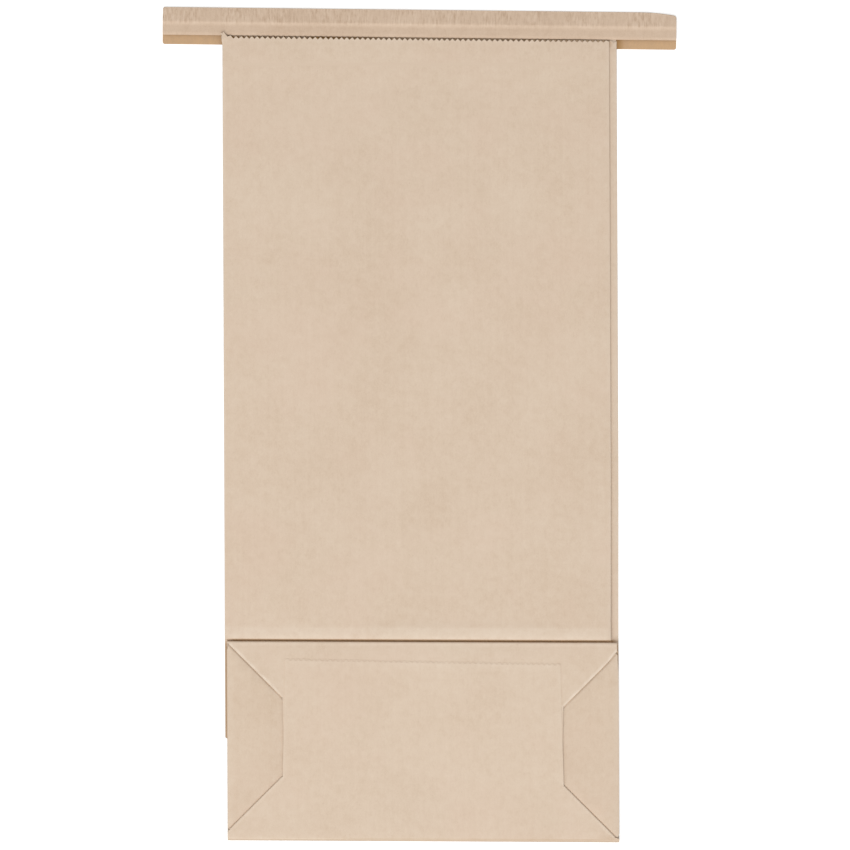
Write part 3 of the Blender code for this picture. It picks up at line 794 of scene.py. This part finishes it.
def cut_corner(bm, shape):
    """Cuts the front ply fine at the mouth's left corner."""
    corner = Vector((shape.mouth.left.x, shape.mouth.left.y, 0.0))
    reach = shape.form.burr + 1 * MM

    def faces():
        return {face for face in bm.faces if face.calc_center_median().z > 0.6 * MM
                and (face.calc_center_median().xy - corner.xy).length < 2 * reach}
    steps = [share * reach / 12 for share in range(-12, 13)]
    cut_faces(bm, faces(), ALONG_X, [corner.x + step for step in steps])
    cut_faces(bm, faces(), ALONG_Y, [corner.y + step for step in steps])


def mark(data, name, values):
    """Stores one number for each point of the mesh."""
    data.attributes.new(name, "FLOAT", "POINT").data.foreach_set("value", values)


def mark_folds_and_cuts(bm):
    """For each point, how much it lies on a round fold, and on a cut edge of the sheet."""
    folds, cuts = [], []
    for vert in bm.verts:
        steep = [abs(face.normal.z) < 0.1 for face in vert.link_faces]
        slanting = [0.1 <= abs(face.normal.z) < 0.98 for face in vert.link_faces]
        thin = [face.calc_area() < 1.5 * PAPER * 4 * MM for face in vert.link_faces]
        cuts.append(1.0 if any(s and t for s, t in zip(steep, thin)) and not any(slanting)
                    else 0.0)
        folds.append(1.0 if any(slanting) else 0.0)
    return folds, cuts


class BAG_OT_body(bpy.types.Operator):
    """Copy the folded sheet from the frame, cut it fine and let it spring"""
    bl_idname = "bakery_bag.body"
    bl_label = "Bag Body"

    def execute(self, context):
        shape = BagShape()
        form = shape.form
        bm = joined_mesh("bag_body")
        along_fold = Vector((-shape.far_fold.slope, 1.0, 0.0)).normalized()
        fold_reach = along_fold.dot(shape.far_fold.left.xy.to_3d())
        for away in shape.slot_places():
            cut_across(bm, along_fold, [fold_reach + away])
        lift = [shape.bottom + LIFT_STARTS + step * MM for step in range(-3, 15)]
        cut_across(bm, ALONG_Y, lift)
        cut_across(bm, ALONG_X, shape.line_ends)
        cut_across(bm, ALONG_X, even_places(shape.low.x, shape.high.x, form.cell))
        cut_across(bm, ALONG_Y, [shape.low.y + 0.5 * MM, shape.low.y + 0.9 * MM])
        cut_across(bm, ALONG_Y,
                   [y for y in even_places(shape.low.y, shape.high.y, form.cell)
                    if y < lift[0] and not -1.8 * MM < y - shape.far_fold.left.y < 8 * MM])
        cut_ears(bm, shape)
        cut_corner(bm, shape)
        bm.normal_update()
        folds, cuts = mark_folds_and_cuts(bm)
        # Folds are paler from rub, and painted highlight lies beside the bottom's folds
        folds = [max(0.5 * fold * float(vert.normal.z > 0.3 and vert.co.y > shape.bottom),
                     shape.rub_and_highlight(vert.co))
                 for fold, vert in zip(folds, bm.verts)]
        # Painted shade for the crevices beside the bottom's folds, the bottom rim and the mouth
        shaded = [shape.depth(vert.co) for vert in bm.verts]
        plies = [float(min(INNER_FLAP_PLY, round(vert.co.z / PLY_PITCH))) for vert in bm.verts]
        for vert in bm.verts:
            vert.co = shape.moved(vert.co)
        made = finished_object("bag_paper", bm, "kraft_paper", kraft_paper_material(),
                               "bag_body")
        for name, values in (("fold", folds), ("cut", cuts), ("ply", plies), ("shaded", shaded)):
            mark(made.data, name, values)
        return {"FINISHED"}


class BAG_OT_tie_strip(bpy.types.Operator):
    """Copy the tie's strip from the frame and put fine wrinkles across its upper band"""
    bl_idname = "bakery_bag.tie_strip"
    bl_label = "Tie Strip"

    def execute(self, context):
        tie = settings("tie_paper")
        bm = joined_mesh("tin_tie_strip")
        square = Matrix.Rotation(TIE_LEAN, 3, "Z")
        bmesh.ops.rotate(bm, cent=(0.0, 0.0, 0.0), matrix=square, verts=bm.verts)
        ends = [round(extreme(vert.co.x for vert in bm.verts), 6) for extreme in (min, max)]
        wire = (square @ self.middle("tin_tie_wire_upper")).y
        top = max(vert.co.y for vert in bm.verts)
        crown = max(vert.co.z for vert in bm.verts)
        rows = [wire + step * 0.16 * MM for step in range(-13, 5)]
        rows += even_places(rows[-1], top, 0.4 * MM)
        cut_across(bm, ALONG_Y, rows)
        cut_across(bm, ALONG_X, even_places(*ends, tie.cell))
        bm.normal_update()
        folds, cuts = mark_folds_and_cuts(bm)
        low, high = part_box("bag_body")
        marks, shade = [], []
        for number, vert in enumerate(bm.verts):
            above = vert.co.y - wire
            marks.append(0.1 + 0.9 * smooth_step(-1.3 * MM, 0.1 * MM, above))
            # Painted shadow that the bag's sides cast on the pasted face, fading away from them
            beside = max(low.x - vert.co.x, vert.co.x - high.x + 1 * MM, 0.0)
            shade.append(math.exp(-beside / (0.6 * MM)))
            # Painted highlight on the lit lower flank of the crest over the upper wire
            folds[number] = max(0.4 * folds[number] * float(above > 3 * MM),
                                hill(above + 0.55 * MM, 0.5 * MM))
            if vert.normal.z > 0.3 and vert.co.z > 0.5 * MM:
                crest = hill(above, 0.5 * MM) - 0.6 * hill(above + 1.3 * MM, 0.6 * MM)
                if above > 0.0:
                    slope = tie.fall * above / (top - wire)
                    vert.co.z = max(vert.co.z, crown + tie.ridge * (1 - crest) - slope)
                buckle = noise.noise(Vector((vert.co.x / tie.buckle_pitch,
                                             vert.co.y / (3 * tie.buckle_pitch), 3.0)))
                vert.co.z += tie.ridge * crest + tie.buckle * buckle
            vert.co.y -= tie.seat
            vert.co.x -= tie.left_reach * smooth_step(0.0, -ends[0], -vert.co.x)
        bmesh.ops.rotate(bm, cent=(0.0, 0.0, 0.0), matrix=square.inverted(), verts=bm.verts)
        made = finished_object("tin_tie_paper", bm, "tie_paper", tie_paper_material(),
                               "tin_tie_strip")
        for name, values in (("fold", folds), ("cut", cuts), ("wrinkle", marks),
                             ("shade", shade)):
            mark(made.data, name, values)
        pasted = [float(face.normal.z > 0.7 and face.center.z < 0.3 * MM)
                  for face in made.data.polygons]
        made.data.attributes.new("inside", "FLOAT", "FACE").data.foreach_set("value", pasted)
        return {"FINISHED"}

    @staticmethod
    def middle(node):
        low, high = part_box(node)
        return (Vector(low) + Vector(high)) / 2


class BAG_OT_film(bpy.types.Operator):
    """Give the window's film its finish"""
    bl_idname = "bakery_bag.film"
    bl_label = "Window Film"

    def execute(self, context):
        finish_node("window_film", film_material())
        return {"FINISHED"}


class BAG_OT_tie_wires(bpy.types.Operator):
    """Give both wires of the tie their finish"""
    bl_idname = "bakery_bag.tie_wires"
    bl_label = "Tie Wires"

    def execute(self, context):
        bright = wire_material()
        for node in ("tin_tie_wire_lower", "tin_tie_wire_upper"):
            finish_node(node, bright)
        return {"FINISHED"}


def finish_node(node, material):
    """Puts the material on a node that is shown as the frame has it."""
    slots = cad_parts[node].material_slots
    if not slots:
        raise RuntimeError(f"{node} has no material slot")
    for slot in slots:
        slot.material = material


class BAG_OT_studio(bpy.types.Operator):
    """Make the camera that looks straight down, the floor and the lights"""
    bl_idname = "bakery_bag.studio"
    bl_label = "Studio"

    def execute(self, context):
        studio = settings("studio")
        self.make_camera(context.scene, studio)
        self.make_floor(studio)
        self.make_world(context.scene, studio)
        self.make_key(studio)
        context.scene.view_settings.view_transform = "Standard"
        return {"FINISHED"}

    @staticmethod
    def make_camera(scene, studio):
        data = bpy.data.cameras.new("camera")
        data.sensor_width = studio.sensor * 1000
        data.lens = data.sensor_width * studio.camera_height / VIEW_SIZE
        data.clip_start = 0.01
        data.clip_end = 50.0
        camera = bpy.data.objects.new("camera", data)
        camera.location = (*VIEW_CENTRE, studio.camera_height)
        scene.collection.objects.link(camera)
        scene.camera = camera

    @staticmethod
    def make_floor(studio):
        half = studio.floor_size / 2
        data = bpy.data.meshes.new("floor")
        corners = [(-half, -half), (half, -half), (half, half), (-half, half)]
        data.from_pydata([(x, y, -studio.floor_drop) for x, y in corners], [], [(0, 1, 2, 3)])
        made, wiring, shader = new_material("floor")
        seen = wiring.add("ShaderNodeLightPath").outputs["Is Camera Ray"]
        glossy = wiring.add("ShaderNodeLightPath").outputs["Is Glossy Ray"]
        wiring.feed(shader, {
            "Base Color": wiring.blend(seen, studio.floor_bounce, studio.floor),
            "Roughness": 0.9,
            "Specular IOR Level": 0.0,
            "Emission Color": (1.0, 1.0, 1.0, 1.0),
            "Emission Strength": wiring.math("MULTIPLY", wiring.math("MAXIMUM", seen, glossy),
                                             0.45)})
        data.materials.append(made)
        floor = bpy.data.objects.new("floor", data)
        bpy.context.scene.collection.objects.link(floor)

    @staticmethod
    def make_world(scene, studio):
        world = bpy.data.worlds.new("studio")
        world.use_nodes = True
        wiring = Wiring(world.node_tree)
        rays = wiring.add("ShaderNodeLightPath").outputs
        seen = wiring.math("MAXIMUM", rays["Is Camera Ray"],
                           wiring.math("MAXIMUM", rays["Is Glossy Ray"],
                                       rays["Is Transmission Ray"]))
        wiring.feed(world.node_tree.nodes["Background"], {
            "Color": (1.0, 1.0, 1.0, 1.0),
            "Strength": wiring.spread(seen, 0.0, 1.0, studio.world_light, 1.0)})
        scene.world = world

    @staticmethod
    def make_key(studio):
        data = bpy.data.lights.new("key", "AREA")
        data.shape = "SQUARE"
        data.size = studio.key_size
        data.energy = (studio.key_light * math.pi ** 2 * studio.key_distance ** 2
                       / KEY_DIRECTION.z)
        key = bpy.data.objects.new("key", data)
        key.location = KEY_DIRECTION * studio.key_distance
        key.rotation_mode = "QUATERNION"
        key.rotation_quaternion = KEY_DIRECTION.to_track_quat("Z", "Y")
        bpy.context.scene.collection.objects.link(key)


class BAG_PT_panel(bpy.types.Panel):
    bl_idname = "BAG_PT_panel"
    bl_label = "Bakery Bag"
    bl_space_type = "VIEW_3D"
    bl_region_type = "UI"
    bl_category = "Bakery Bag"

    def draw(self, context):
        for name, group in GROUPS.items():
            box = self.layout.box()
            box.label(text=name.replace("_", " ").capitalize())
            for key in group.__annotations__:
                box.prop(getattr(context.scene, name), key)
        for operator in OPERATORS:
            self.layout.operator(operator.bl_idname)


GROUPS = {"bag_form": BagForm, "kraft_paper": KraftPaper, "tie_paper": TiePaper,
          "film_and_wire": FilmAndWire, "studio": Studio}
OPERATORS = (BAG_OT_studio, BAG_OT_body, BAG_OT_film, BAG_OT_tie_strip, BAG_OT_tie_wires)


def register():
    for name, group in GROUPS.items():
        bpy.utils.register_class(group)
        setattr(bpy.types.Scene, name, bpy.props.PointerProperty(type=group))
    for made in (*OPERATORS, BAG_PT_panel):
        bpy.utils.register_class(made)


def unregister():
    for made in (BAG_PT_panel, *reversed(OPERATORS)):
        bpy.utils.unregister_class(made)
    for name, group in reversed(GROUPS.items()):
        delattr(bpy.types.Scene, name)
        bpy.utils.unregister_class(group)


def main():
    register()
    bpy.ops.bakery_bag.studio()
    bpy.ops.bakery_bag.body()
    bpy.ops.bakery_bag.film()
    bpy.ops.bakery_bag.tie_strip()
    bpy.ops.bakery_bag.tie_wires()


if __name__ == "__main__":
    main()
